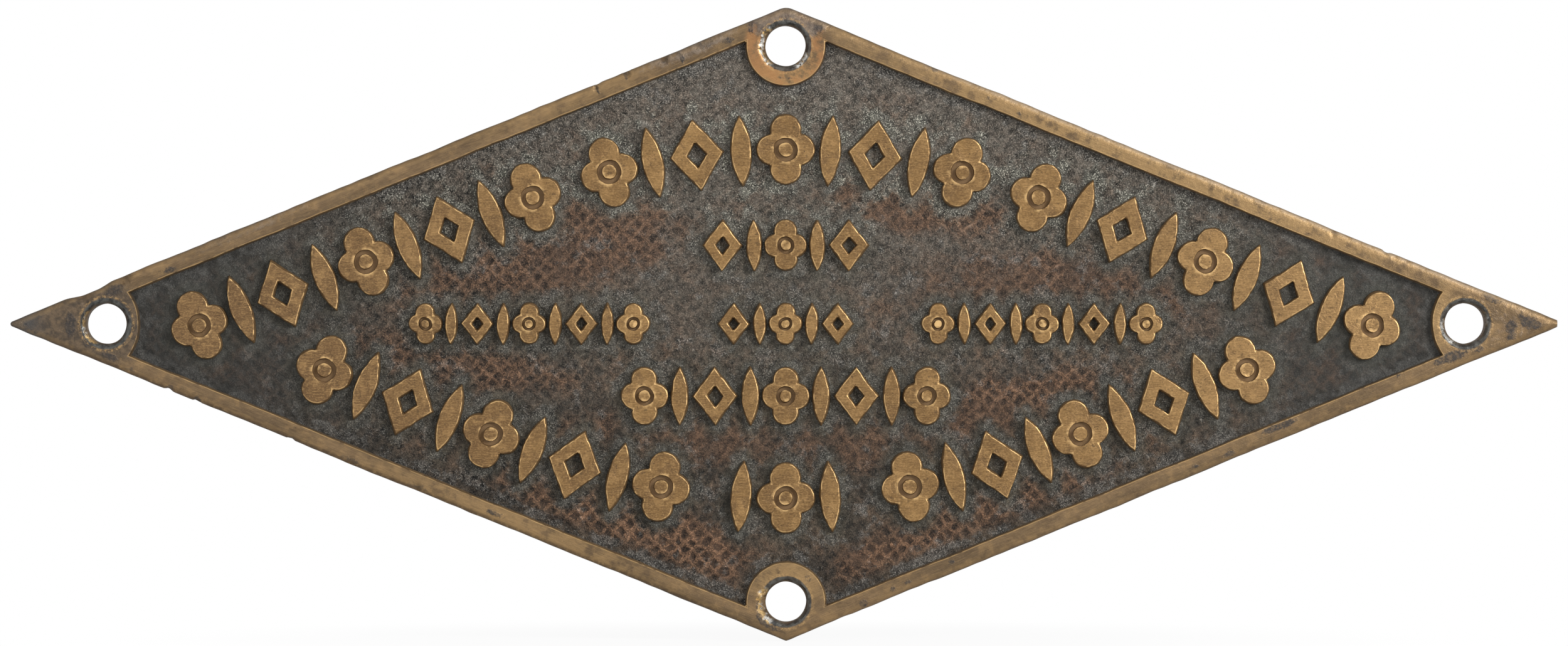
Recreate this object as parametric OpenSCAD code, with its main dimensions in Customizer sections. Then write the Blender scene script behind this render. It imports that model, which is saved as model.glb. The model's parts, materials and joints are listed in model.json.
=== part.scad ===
// Cast brass builders plate of a locomotive: a diamond with a flat sunk ground, a raised rim,
// a round boss at the top and bottom hole, a solid lug at each end hole, and raised ornament in
// two curved bands and three straight rows.
// The plate stands upright as it is fixed: its back lies on y = 0, its front faces -Y, and X runs
// along its length. Shapes are drawn in plan, x to the right and y upwards, and cast() stands
// them up.

/* [Plate] */
// Length of the diamond between its end points, before they are blunted
plate_length = 396; // [370:1:440]
// Height of the diamond between its corners, before they are blunted
plate_height = 161; // [148:1:180]
// Thickness of the ground
ground_thickness = 5.5; // [4:0.1:8]
// Height of the raised work above the ground
relief = 2.5; // [1.5:0.1:3.5]
// Draft angle of the raised work's side walls
draft_angle = 8; // [3:0.5:12]
// Radius that blunts the two end points
end_point_radius = 0.7; // [0.4:0.1:1.5]
// Radius that blunts the top and bottom corners
corner_radius = 4.5; // [2:0.1:6]

/* [Rim] */
// Width of the rim's flat top
rim_width = 4.25; // [3:0.05:6]
// Radius of the rim's worn outer edge
worn_edge_radius = 0.9; // [0.4:0.05:1.4]

/* [Fixing holes] */
// Bore of the four fixing holes
hole_diameter = 10.3; // [8.5:0.1:11.5]
// Width of the worn chamfer round each hole's mouth
hole_chamfer = 0.8; // [0.4:0.05:1.2]
// Distance from each end point to the axis of its hole
end_hole_inset = 25.5; // [24:0.5:30]
// Distance from the top and bottom corner to the axis of its hole
corner_hole_inset = 9.9; // [9.5:0.1:14]
// Diameter of the round bosses
boss_diameter = 20; // [17:0.5:24]
// Radius of the arc that ends each lug
lug_arc_radius = 13.75; // [12:0.25:18]
// Distance from an end hole's axis to the inner edge of its lug
lug_reach = 8.2; // [7:0.1:12]

/* [Ornament bands] */
// Height of the marks in the two bands
band_mark_height = 17.5; // [14:0.5:19]
// Distance from a corner of the plate to the crown of its band
band_inset = 36.25; // [34:0.25:40]
// Radius of the arc in the middle of a band
band_radius = 175; // [140:5:220]
// Angle by which a band's straight flanks lie flatter than the rim
flank_lean = 1.15; // [0:0.05:3]
// Gap between the feet of neighbouring marks in a band
band_mark_gap = 1; // [0.4:0.1:2]
// Distance between the end marks of neighbouring groups in a band
band_group_space = 20.5; // [16:0.5:26]
// Half height of the field at the last mark of the upper band
end_mark_room = 15.1; // [14:0.1:18]
// Clearance between the marks of the two bands where they come together
band_clearance = 3.4; // [2:0.1:6]
// Number of marks in the middle group of the upper band
upper_centre_marks = 9; // [5:2:11]
// Number of marks in the middle group of the lower band
lower_centre_marks = 3; // [3:2:7]

/* [Ornament rows] */
// Height of the marks in the first row
first_row_height = 12.6; // [10:0.2:14]
// Height of the marks in the second row
second_row_height = 10; // [8:0.2:12]
// Height of the marks in the third row
third_row_height = 14.3; // [10:0.1:15]
// Space between the first and second rows
upper_row_space = 8.6; // [5:0.1:10]
// Space between the second and third rows
lower_row_space = 6.2; // [4:0.1:8]
// Gap between the feet of neighbouring marks in a row
row_mark_gap = 0.4; // [0.3:0.05:1]
// Distance between the end marks of neighbouring groups in the second row
row_group_space = 25.5; // [18:0.5:32]
// Number of marks in the first row
first_row_marks = 5; // [3:2:7]
// Number of marks in each outer group of the second row
second_row_side_marks = 9; // [5:2:9]
// Number of marks in the middle group of the second row
second_row_centre_marks = 5; // [3:2:7]
// Number of marks in the third row
third_row_marks = 9; // [5:2:9]

/* [Mark shapes] */
// Width of a rosette for its height
rosette_slimness = 0.82; // [0.7:0.01:0.9]
// Radius of a rosette's petals for its height
petal_fullness = 0.215; // [0.19:0.005:0.24]
// Radius of the button in a rosette for its height
button_size = 0.1; // [0.07:0.005:0.12]
// Width of the groove round the button for the rosette's height
groove_size = 0.075; // [0.05:0.005:0.1]
// Depth of the groove round the button
groove_depth = 1.3; // [0.6:0.1:1.5]
// Width of a lozenge for its height
lozenge_slimness = 0.76; // [0.65:0.01:0.85]
// Width of a lozenge's sides for its height
lozenge_side_width = 0.18; // [0.13:0.01:0.2]
// Width of a leaf for its height
leaf_slimness = 0.28; // [0.2:0.01:0.34]

/* [Hidden] */

ground_colour = "#574e49";
rim_colour = "#8a7350";
mark_colour = "#9c7742";

$fn = 64;
// Straight pieces round the wide cones that leaves are cut from
leaf_steps = 180;
// Overshoot of a cutting shape past the face that it opens
cut_through = 1;
// Straight pieces in each rounded corner of an outline or a section
rounding_steps = 6;
// Smallest radius left on a corner of the outline once it is moved inwards
sharpest_radius = 0.05;
// Thickness of the slices that the raised blank is drawn round
slice_thickness = 0.01;

half_length = plate_length / 2;
half_height = plate_height / 2;
edge_angle = atan(half_height / half_length);
edge_length = norm([half_length, half_height]);

// How much wider a raised shape is at its foot than at its top, on each side
draft_foot = relief * tan(draft_angle);

hole_radius = hole_diameter / 2;
end_hole_x = half_length - end_hole_inset;
corner_hole_y = half_height - corner_hole_inset;
boss_radius = boss_diameter / 2;
lug_arc_x = end_hole_x - lug_reach + lug_arc_radius;

// Half length of the field inside the rim, on the long axis
field_half_length = half_length - rim_width / sin(edge_angle);

// The middle line of a band: an arc round the plate's middle, then straight flanks
band_crown = half_height - band_inset;
flank_angle = edge_angle - flank_lean;
flank_x = band_radius * sin(flank_angle);
flank_y = band_crown - band_radius * (1 - cos(flank_angle));
arc_run = band_radius * flank_angle * PI / 180;

// Distance along a band from its crown to the place on a flank that lies at x
function run_to(x) = arc_run + (x - flank_x) / cos(flank_angle);

// Place and turn of the point at a distance along a band from its crown
function band_point(run) =
    abs(run) <= arc_run
    ? let (turn = run / band_radius * 180 / PI)
      [band_radius * sin(turn), band_crown - band_radius * (1 - cos(turn)), -turn]
    : let (side = sign(run), past = abs(run) - arc_run)
      [side * (flank_x + past * cos(flank_angle)), flank_y - past * sin(flank_angle),
       -side * flank_angle];

// Centre distance of neighbouring marks, which are a leaf and a wide mark in turn
function mark_pitch(height, gap) =
    height * (rosette_slimness + leaf_slimness) / 2 + 2 * draft_foot + gap;

band_pitch = mark_pitch(band_mark_height, band_mark_gap);

// Where the upper band ends, because the field gets too low for another mark
upper_end_x = field_half_length - end_mark_room / tan(edge_angle);
// Where the lower band ends, because it comes close to the upper one
meeting_y = (band_mark_height + 2 * draft_foot + band_clearance) / cos(flank_angle) / 2;
lower_end_x = flank_x + (flank_y - meeting_y) / tan(flank_angle);

// Distance along a band from its crown to the first mark of an outer group
function outer_group_start(centre_marks) = (centre_marks - 1) / 2 * band_pitch + band_group_space;

// Odd number of marks that fit between the start of an outer group and the band's end
function outer_group_marks(centre_marks, end_x) =
    1 + 2 * floor((run_to(end_x) - outer_group_start(centre_marks)) / band_pitch / 2);

upper_outer_marks = outer_group_marks(upper_centre_marks, upper_end_x);
lower_outer_marks = outer_group_marks(lower_centre_marks, lower_end_x);

second_row_y = 0;
first_row_y = second_row_y + (second_row_height + first_row_height) / 2 + upper_row_space;
third_row_y = second_row_y - (second_row_height + third_row_height) / 2 - lower_row_space;

// Points of the arc that rounds one corner
function rounding(centre, radius, from, to) = [
    for (step = [0:rounding_steps])
        let (angle = from + (to - from) * step / rounding_steps)
        centre + radius * [cos(angle), sin(angle)]
];

// Stands a plan shape up, with its lowest face a given distance in front of the back
module cast(level) {
    rotate([90, 0, 0])
        translate([0, 0, level])
            children();
}

// The plate's outline, moved inwards by a distance
module outline(inset = 0) {
    normal = 90 - edge_angle;
    end_radius = max(end_point_radius - inset, sharpest_radius);
    side_radius = max(corner_radius - inset, sharpest_radius);
    end_x = half_length - (inset + end_radius) / sin(edge_angle);
    corner_y = half_height - (inset + side_radius) / cos(edge_angle);
    polygon(concat(
        rounding([end_x, 0], end_radius, -normal, normal),
        rounding([0, corner_y], side_radius, normal, 180 - normal),
        rounding([-end_x, 0], end_radius, 180 - normal, 180 + normal),
        rounding([0, -corner_y], side_radius, 180 + normal, 360 - normal)
    ));
}

// Section of the raised edge, x inwards from the outline and y up from the ground
module edge_section() {
    worn_centre = [worn_edge_radius, relief - worn_edge_radius];
    polygon(concat(
        [[0, 0]],
        rounding(worn_centre, worn_edge_radius, 180, 90),
        [[rim_width, relief], [rim_width + draft_foot, 0]]
    ));
}

// The section run along one edge of the diamond and past both its ends
module edge_run(right, top) {
    mirror([right ? 0 : 1, 0, 0])
        mirror([0, top ? 0 : 1, 0])
            translate([half_length, 0, 0])
                rotate([90, 0, 270 - edge_angle])
                    translate([0, 0, -rim_width])
                        linear_extrude(edge_length + 2 * rim_width)
                            edge_section();
}

// A slab of the plate's outline, as high as the relief, with the rim's worn outer edge
module raised_blank() {
    hull() {
        linear_extrude(slice_thickness)
            outline();
        for (step = [0:rounding_steps]) {
            turn = 90 * step / rounding_steps;
            translate([0, 0, relief - worn_edge_radius * (1 - sin(turn)) - slice_thickness])
                linear_extrude(slice_thickness)
                    outline(worn_edge_radius * (1 - cos(turn)));
        }
    }
}

// A round shape with drafted sides, of a given radius at the top of the relief
module drafted_round(radius) {
    overshoot = cut_through * tan(draft_angle);
    translate([0, 0, -cut_through])
        cylinder(
            h = relief + 2 * cut_through,
            r1 = radius + draft_foot + overshoot,
            r2 = radius - overshoot
        );
}

// The round shape that bounds a boss
module boss_bound(top) {
    translate([0, top ? corner_hole_y : -corner_hole_y, 0])
        drafted_round(boss_radius);
}

// The shape that bounds a lug: a drafted arc and all that lies beyond it
module lug_bound(right) {
    translate([right ? lug_arc_x : -lug_arc_x, 0, 0]) {
        drafted_round(lug_arc_radius);
        translate([right ? 0 : -half_length, -half_height, -cut_through])
            cube([half_length, plate_height, relief + 2 * cut_through]);
    }
}

// A fixing hole through the raised work, with its worn mouth
module raised_hole() {
    translate([0, 0, -cut_through])
        cylinder(h = relief + 2 * cut_through, r = hole_radius);
    translate([0, 0, relief - hole_chamfer])
        cylinder(
            h = hole_chamfer + cut_through,
            r1 = hole_radius,
            r2 = hole_radius + hole_chamfer + cut_through
        );
}

module ground_plate() {
    color(ground_colour)
        cast(0)
            difference() {
                linear_extrude(ground_thickness)
                    outline();
                for (axis = [[end_hole_x, 0], [-end_hole_x, 0], [0, corner_hole_y], [0, -corner_hole_y]])
                    translate([axis.x, axis.y, -cut_through])
                        cylinder(h = ground_thickness + 2 * cut_through, r = hole_radius);
            }
}

module rim_bar(right, top) {
    color(rim_colour)
        cast(ground_thickness)
            difference() {
                intersection() {
                    edge_run(right, top);
                    translate([right ? 0 : -half_length, top ? 0 : -half_height, -cut_through])
                        cube([half_length, half_height, relief + 2 * cut_through]);
                }
                boss_bound(top);
                lug_bound(right);
            }
}

module boss(top) {
    color(rim_colour)
        cast(ground_thickness)
            difference() {
                intersection() {
                    raised_blank();
                    boss_bound(top);
                }
                translate([0, top ? corner_hole_y : -corner_hole_y, 0])
                    raised_hole();
            }
}

module end_lug(right) {
    color(rim_colour)
        cast(ground_thickness)
            difference() {
                intersection() {
                    raised_blank();
                    lug_bound(right);
                }
                translate([right ? end_hole_x : -end_hole_x, 0, 0])
                    raised_hole();
            }
}

// Four petals round a grooved button
module rosette(height) {
    petal = petal_fullness * height;
    button = button_size * height;
    groove = button + groove_size * height;
    side_reach = rosette_slimness * height / 2 - petal;
    tip_reach = height / 2 - petal;
    difference() {
        for (place = [[side_reach, 0], [-side_reach, 0], [0, tip_reach], [0, -tip_reach]])
            translate([place.x, place.y, 0])
                cylinder(h = relief, r1 = petal + draft_foot, r2 = petal);
        translate([0, 0, relief - groove_depth])
            difference() {
                cylinder(h = groove_depth + cut_through, r = groove);
                translate([0, 0, -cut_through])
                    cylinder(h = groove_depth + 3 * cut_through, r = button);
            }
    }
}

// A diamond with drafted sides: half_x and half_y are its size at the top
module drafted_diamond(half_x, half_y, spread) {
    inner_radius = half_x * half_y / norm([half_x, half_y]);
    foot_scale = 1 + spread / inner_radius;
    linear_extrude(relief, scale = 1 / foot_scale)
        scale(foot_scale)
            polygon([[half_x, 0], [0, half_y], [-half_x, 0], [0, -half_y]]);
}

// An open diamond
module lozenge(height) {
    half_y = height / 2;
    half_x = lozenge_slimness * half_y;
    inner_radius = half_x * half_y / norm([half_x, half_y]);
    opening = 1 - lozenge_side_width * height / inner_radius;
    difference() {
        drafted_diamond(half_x, half_y, draft_foot);
        drafted_diamond(opening * half_x, opening * half_y, -draft_foot);
    }
}

// One side of a leaf, as the wide cone that it is cut from
module leaf_side(side_radius, offset) {
    translate([offset, 0, 0])
        cylinder(h = relief, r1 = side_radius + draft_foot, r2 = side_radius, $fn = leaf_steps);
}

// A slim leaf, pointed at both ends, where two cones cross
module leaf(height) {
    half_y = height / 2;
    half_x = leaf_slimness * half_y;
    side_radius = (half_y * half_y + half_x * half_x) / half_x / 2;
    intersection() {
        leaf_side(side_radius, side_radius - half_x);
        leaf_side(side_radius, half_x - side_radius);
    }
}

// The mark at a step from the middle of its group: a rosette in the middle, leaves at odd steps
module mark(step, height) {
    if (abs(step) % 2 == 1)
        leaf(height);
    else if (abs(step) % 4 == 0)
        rosette(height);
    else
        lozenge(height);
}

// A group of marks along a band, from its first mark's distance to the crown
module band_group(start, marks, upper) {
    middle = (marks - 1) / 2;
    color(mark_colour)
        cast(ground_thickness)
            mirror([0, upper ? 0 : 1, 0])
                for (step = [-middle:middle]) {
                    place = band_point(start + (step + middle) * band_pitch);
                    translate([place.x, place.y, 0])
                        rotate(place.z)
                            mark(step, band_mark_height);
                }
}

module outer_band_group(centre_marks, marks, upper, right) {
    start = outer_group_start(centre_marks);
    band_group(right ? start : -start - (marks - 1) * band_pitch, marks, upper);
}

module centre_band_group(marks, upper) {
    band_group(-(marks - 1) / 2 * band_pitch, marks, upper);
}

// A group of marks in a straight row
module row_group(x, y, marks, height) {
    pitch = mark_pitch(height, row_mark_gap);
    middle = (marks - 1) / 2;
    color(mark_colour)
        cast(ground_thickness)
            for (step = [-middle:middle])
                translate([x + step * pitch, y, 0])
                    mark(step, height);
}

module outer_row_group(right) {
    pitch = mark_pitch(second_row_height, row_mark_gap);
    marks_between = (second_row_centre_marks - 1) / 2 + (second_row_side_marks - 1) / 2;
    distance = marks_between * pitch + row_group_space;
    row_group(right ? distance : -distance, second_row_y, second_row_side_marks, second_row_height);
}

ground_plate();
rim_bar(false, true);  // upper_left_rim
rim_bar(true, true);  // upper_right_rim
rim_bar(false, false);  // lower_left_rim
rim_bar(true, false);  // lower_right_rim
boss(true);  // top_boss
boss(false);  // bottom_boss
end_lug(false);  // left_end_lug
end_lug(true);  // right_end_lug
outer_band_group(upper_centre_marks, upper_outer_marks, true, false);  // upper_band_left
centre_band_group(upper_centre_marks, true);  // upper_band_centre
outer_band_group(upper_centre_marks, upper_outer_marks, true, true);  // upper_band_right
outer_band_group(lower_centre_marks, lower_outer_marks, false, false);  // lower_band_left
centre_band_group(lower_centre_marks, false);  // lower_band_centre
outer_band_group(lower_centre_marks, lower_outer_marks, false, true);  // lower_band_right
row_group(0, first_row_y, first_row_marks, first_row_height);  // first_row
outer_row_group(false);  // second_row_left
row_group(0, second_row_y, second_row_centre_marks, second_row_height);  // second_row_centre
outer_row_group(true);  // second_row_right
row_group(0, third_row_y, third_row_marks, third_row_height);  // third_row
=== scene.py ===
import json
import math
from functools import partial

import bpy
import numpy as np
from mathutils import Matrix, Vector
from mathutils.geometry import delaunay_2d_cdt

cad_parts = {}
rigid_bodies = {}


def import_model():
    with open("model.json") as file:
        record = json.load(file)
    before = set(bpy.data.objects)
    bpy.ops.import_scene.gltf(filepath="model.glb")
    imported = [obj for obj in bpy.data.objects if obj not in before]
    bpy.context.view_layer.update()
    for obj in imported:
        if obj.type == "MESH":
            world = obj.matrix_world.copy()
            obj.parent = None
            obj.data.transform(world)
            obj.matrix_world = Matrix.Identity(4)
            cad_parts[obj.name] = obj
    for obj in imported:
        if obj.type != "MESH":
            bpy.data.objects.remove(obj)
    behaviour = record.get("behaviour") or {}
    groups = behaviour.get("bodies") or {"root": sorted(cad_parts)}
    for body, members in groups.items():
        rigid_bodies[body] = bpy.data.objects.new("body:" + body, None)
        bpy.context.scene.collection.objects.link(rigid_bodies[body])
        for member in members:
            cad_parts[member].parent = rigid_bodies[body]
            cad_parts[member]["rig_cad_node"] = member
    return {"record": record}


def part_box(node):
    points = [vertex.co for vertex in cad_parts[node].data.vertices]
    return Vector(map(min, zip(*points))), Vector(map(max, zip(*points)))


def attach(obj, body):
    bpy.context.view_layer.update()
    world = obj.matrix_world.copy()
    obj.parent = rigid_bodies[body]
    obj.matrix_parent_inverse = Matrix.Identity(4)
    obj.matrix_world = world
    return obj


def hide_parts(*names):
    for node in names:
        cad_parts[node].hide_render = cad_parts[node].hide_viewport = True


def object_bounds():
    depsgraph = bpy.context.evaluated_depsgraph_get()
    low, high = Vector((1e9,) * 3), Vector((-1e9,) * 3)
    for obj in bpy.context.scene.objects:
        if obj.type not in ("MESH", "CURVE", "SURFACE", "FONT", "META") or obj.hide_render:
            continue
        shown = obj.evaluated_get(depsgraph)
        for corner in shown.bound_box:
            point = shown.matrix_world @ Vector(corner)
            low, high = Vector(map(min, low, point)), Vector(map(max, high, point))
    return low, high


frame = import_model()
cad_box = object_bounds()

# Sizes are in millimetres, and plan points are (x, z) as the camera sees the plate.
# A level is a distance in front of the plate's back.
MM = 0.001

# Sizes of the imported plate
GROUND = -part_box("ground_plate")[0].y / MM
TOP = -cad_box[0].y / MM
RELIEF = TOP - GROUND
BORES = [mount for mount in frame["record"]["mounts"] if mount["kind"] == "bore"]
HOLE_RADIUS = BORES[0]["dims"]["r_mm"]
END_HOLE_X = max(mount["pos_m"][0] for mount in BORES) / MM
CORNER_HOLE_Z = max(mount["pos_m"][2] for mount in BORES) / MM
HOLES = ((END_HOLE_X, 0), (-END_HOLE_X, 0), (0, CORNER_HOLE_Z), (0, -CORNER_HOLE_Z))

# Outline: the diamond between its sharp points, and the radii that blunt them
HALF_LENGTH = 198
HALF_HEIGHT = 80.5
END_POINT_RADIUS = 0.7
CORNER_RADIUS = 4.5
EDGE_ANGLE = math.atan(HALF_HEIGHT / HALF_LENGTH)
EDGE_SLOPE = math.tan(EDGE_ANGLE)
EDGE_NORMAL = np.array((math.sin(EDGE_ANGLE), math.cos(EDGE_ANGLE)))
EDGE_REACH = HALF_LENGTH * EDGE_NORMAL[0]
END_ARC_X = HALF_LENGTH - END_POINT_RADIUS / math.sin(EDGE_ANGLE)
CORNER_ARC_Z = HALF_HEIGHT - CORNER_RADIUS / math.cos(EDGE_ANGLE)

# Border: rim, bosses and lugs
RIM_WIDTH = 4.25
WORN_EDGE = 1.8
WORN_DROP = 0.9
BOSS_RADIUS = 10
LUG_ARC_RADIUS = 13.75
LUG_REACH = 8.2
LUG_ARC_X = END_HOLE_X - LUG_REACH + LUG_ARC_RADIUS
HOLE_CHAMFER = 0.8

# Walls of the raised work: their draft, how far their foot spreads, how deep their base and their
# foot lie in the ground, and their worn profile as (distance inside the edge, level)
DRAFT = math.tan(math.radians(8))
FOOT = RELIEF * DRAFT
SINK = 0.4
ROOT = 0.3
EDGE_PROFILE = (
    (-FOOT - ROOT * DRAFT, GROUND - ROOT),
    (-0.02, TOP - 0.2),
    (0.06, TOP - 0.05),
    (0.2, TOP),
)
# Width of the bright line along an edge, which is partly wear and partly a painted highlight
BRIGHT_LINE = 0.32

# Ornament bands and rows
BAND_HEIGHT = 17.5
BAND_CROWN = HALF_HEIGHT - 36.25
BAND_RADIUS = 175
FLANK_ANGLE = EDGE_ANGLE - math.radians(1.15)
BAND_GAP = 1
BAND_SPACE = 20.5
ROW_GAP = 0.4
ROW_SPACE = 25.5
ROW_HEIGHTS = (12.6, 10, 14.3)
ROW_LEVELS = (19.9, 0, -18.35)

# Mark shapes, as shares of a mark's height
ROSETTE_WIDTH = 0.82
PETAL = 0.215
BUTTON = 0.1
GROOVE = 0.175
GROOVE_DEPTH = 1.3
LOZENGE_WIDTH = 0.76
LOZENGE_SIDE = 0.18
LEAF_WIDTH = 0.28

# How unevenly the marks stand: the most that one tilts, and how far its outline wanders
MARK_TILT = math.radians(0.9)
MARK_WANDER = 0.55

# Wear of the border's face: how much it sags and how unevenly its hole mouths are worn, each with
# its wavelength, and the least relief that dents and tears leave
SAG = 0.05
SAG_WAVE = 17
MOUTH_UNEVENNESS = 0.35
MOUTH_WAVE = 5
LEAST_RELIEF = 0.4

# Ground: pitch and depth of the punch marks, and depth of the pebbled grain
PUNCH_PITCH = 3.94
PUNCH_DEPTH = 0.42
GRAIN_DEPTH = 0.32

# Spacing of mesh points
BORDER_STEP = 0.65
GROUND_STEP = 0.62
RING_STEP = 0.5
MARK_STEP = 0.36
SMOOTH_BELOW = math.radians(38)


def distance_to(points, centre):
    return np.hypot(*(points - np.array(centre)).T)


def smooth(value, low, high):
    """0 below low and 1 above high, with a smooth rise between."""
    share = np.clip((value - low) / (high - low), 0, 1)
    return share * share * (3 - 2 * share)


def ripple(points, wavelength, seed):
    """Smooth unevenness of about -1 to 1 over the plan: plane waves in seeded directions."""
    waves = 9
    random = np.random.default_rng(seed)
    turn = random.uniform(0, 2 * math.pi, waves)
    phase = random.uniform(0, 2 * math.pi, waves)
    stretch = random.uniform(0.6, 1.5, waves) * 2 * math.pi / wavelength
    directions = np.stack([np.cos(turn), np.sin(turn)]) * stretch
    return np.sin(points @ directions + phase).sum(axis=1) * 2 / waves


# Knocks that pushed the outline inwards: a point on it, half length along it, and depth
KNOCKS = (
    ((-176.9, 8.6), 5.0, 0.65),
    ((-156.6, -16.8), 1.0, 0.45),
    ((-149.5, -19.7), 0.9, 0.4),
    ((-125.7, -29.4), 0.9, 0.35),
    ((-47.8, 61.1), 0.8, 0.12),
    ((-40.4, 64.1), 0.9, 0.14),
    ((152.4, 18.6), 1.0, 0.3),
)
# How far inside the outline a knock still moves the metal
KNOCK_REACH = 3.2
# Where wear has cut off the right tip
CUT_TIP_X = 195.9
# How far the bottom corner reaches past its radius, over what half width, and from which depth on
SHARPER = 0.27
SHARPER_WIDTH = 1.8
SHARPER_RISE = (76, 79)
# Waves that filing by hand left in the outlines: wavelength, reach, and a seed for each direction
FILING = (
    (31, 0.13, (1, 2)),
    (6.5, 0.05, (3, 4)),
)


def knocked(points):
    """How far knocks move plan points, towards the plate's middle lines."""
    inward = -np.sign(points) * EDGE_NORMAL
    near_edge = 1 - smooth(outline_inset(points), 0, KNOCK_REACH)
    push = np.zeros(len(points))
    for place, half_length, depth in KNOCKS:
        push += depth * (1 - smooth(distance_to(points, place) / half_length, 0.35, 1.35))
    return inward * (push * near_edge)[:, None]


def hand_worked(points):
    """Plan points moved a little, because the outlines were filed by hand and then knocked."""
    moved = points
    for wavelength, reach, seeds in FILING:
        waves = [ripple(points, wavelength, seed) for seed in seeds]
        moved = moved + reach * np.stack(waves, axis=1)
    moved = moved + knocked(points)
    at_corner = np.clip(1 - np.abs(points[:, 0]) / SHARPER_WIDTH, 0, 1)
    moved[:, 1] -= SHARPER * at_corner ** 2 * smooth(-points[:, 1], *SHARPER_RISE)
    moved[:, 0] = np.minimum(moved[:, 0], CUT_TIP_X)
    return moved


def outline_inset(points):
    """How far plan points lie inside the plate's outline."""
    quarter = np.abs(points)
    past_end = quarter - (END_ARC_X, 0)
    past_corner = quarter - (0, CORNER_ARC_Z)
    inset = EDGE_REACH - quarter @ EDGE_NORMAL
    at_end = past_end[:, 1] * EDGE_SLOPE < past_end[:, 0]
    at_corner = past_corner[:, 0] < past_corner[:, 1] * EDGE_SLOPE
    inset = np.where(at_end, END_POINT_RADIUS - np.hypot(*past_end.T), inset)
    return np.where(at_corner, CORNER_RADIUS - np.hypot(*past_corner.T), inset)


def border_inset(points):
    """How far plan points lie inside the raised border, from the edge of the sunk field."""
    quarter = np.abs(points)
    rim = quarter @ EDGE_NORMAL - (EDGE_REACH - RIM_WIDTH)
    boss = BOSS_RADIUS - distance_to(quarter, (0, CORNER_HOLE_Z))
    lug = LUG_ARC_RADIUS - distance_to(quarter, (LUG_ARC_X, 0))
    return np.max([rim, boss, lug], axis=0)


def hole_inset(points):
    """How far plan points lie outside the nearest fixing hole."""
    return np.min([distance_to(points, hole) for hole in HOLES], axis=0) - HOLE_RADIUS


def arc(centre, radius, start, end, count):
    turn = np.linspace(start, end, count)
    return np.stack([centre[0] + radius * np.cos(turn), centre[1] + radius * np.sin(turn)], axis=1)


def straight(start, end, step):
    """Points between two ends, both left out."""
    count = max(2, round(math.dist(start, end) / step))
    return np.linspace(start, end, count + 1)[1:-1]


def whole_loop(quarter):
    """A closed loop from its first quarter, which runs from the x axis to the z axis."""
    back = quarter[::-1]
    return np.concatenate([
        quarter[:-1], (back * (-1, 1))[:-1], (-quarter)[:-1], (back * (1, -1))[:-1],
    ])


def outline_loop(inset):
    """The plate's outline, moved inwards by a distance."""
    normal = math.pi / 2 - EDGE_ANGLE
    sharpest = 0.05
    arc_points = 5
    end_radius = max(END_POINT_RADIUS - inset, sharpest)
    corner_radius = max(CORNER_RADIUS - inset, sharpest)
    end_x = HALF_LENGTH - (inset + end_radius) / math.sin(EDGE_ANGLE)
    corner_z = HALF_HEIGHT - (inset + corner_radius) / math.cos(EDGE_ANGLE)
    end = arc((end_x, 0), end_radius, 0, normal, arc_points)
    corner = arc((0, corner_z), corner_radius, normal, math.pi / 2, arc_points)
    return whole_loop(np.concatenate([end, straight(end[-1], corner[0], RING_STEP), corner]))


def crossing(centre, radius, inset, towards_top):
    """Where a circle crosses a line inside the edge of the first quarter."""
    away = EDGE_REACH - inset - np.array(centre) @ EDGE_NORMAL
    half_chord = math.sqrt(radius * radius - away * away)
    along = np.array((-EDGE_NORMAL[1], EDGE_NORMAL[0])) * (1 if towards_top else -1)
    return np.array(centre) + away * EDGE_NORMAL + half_chord * along


def turn_of(point, centre):
    return math.atan2(point[1] - centre[1], point[0] - centre[0])


def field_loop(spread):
    """Edge of the sunk field, moved into the field by a distance."""
    lug_points = 19
    boss_points = 35
    lug = (LUG_ARC_X, 0)
    boss = (0, CORNER_HOLE_Z)
    lug_corner = crossing(lug, LUG_ARC_RADIUS + spread, RIM_WIDTH + spread, True)
    boss_corner = crossing(boss, BOSS_RADIUS + spread, RIM_WIDTH + spread, False)
    lug_arc = arc(lug, LUG_ARC_RADIUS + spread, math.pi, turn_of(lug_corner, lug), lug_points)
    boss_arc = arc(boss, BOSS_RADIUS + spread, turn_of(boss_corner, boss), -math.pi / 2, boss_points)
    rim = straight(lug_corner, boss_corner, RING_STEP)
    return whole_loop(np.concatenate([lug_arc, rim, boss_arc]))


def lattice(half_width, half_height, step):
    """Points in staggered rows."""
    row_step = step * math.sqrt(3) / 2
    rows = np.arange(-half_height, half_height, row_step)
    columns = np.arange(-half_width, half_width, step)
    x = columns[None, :] + (np.arange(len(rows)) % 2)[:, None] * step / 2
    z = np.repeat(rows[:, None], len(columns), axis=1)
    return np.stack([x.ravel(), z.ravel()], axis=1)


class Plan:
    """Points in plan and the lines that triangles between them have to follow."""

    def __init__(self):
        self.points = []
        self.lines = []
        self.count = 0

    def scatter(self, points):
        self.points.append(points)
        self.count += len(points)

    def line(self, points, closed=False):
        first = self.count
        last = first + len(points) - 1
        self.scatter(points)
        self.lines += [(index, index + 1) for index in range(first, last)]
        if closed:
            self.lines.append((last, first))

    def fill(self, keep):
        """The plan's points and the triangles whose middle is kept."""
        return triangles(np.concatenate(self.points), self.lines, keep)[:2]


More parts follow.
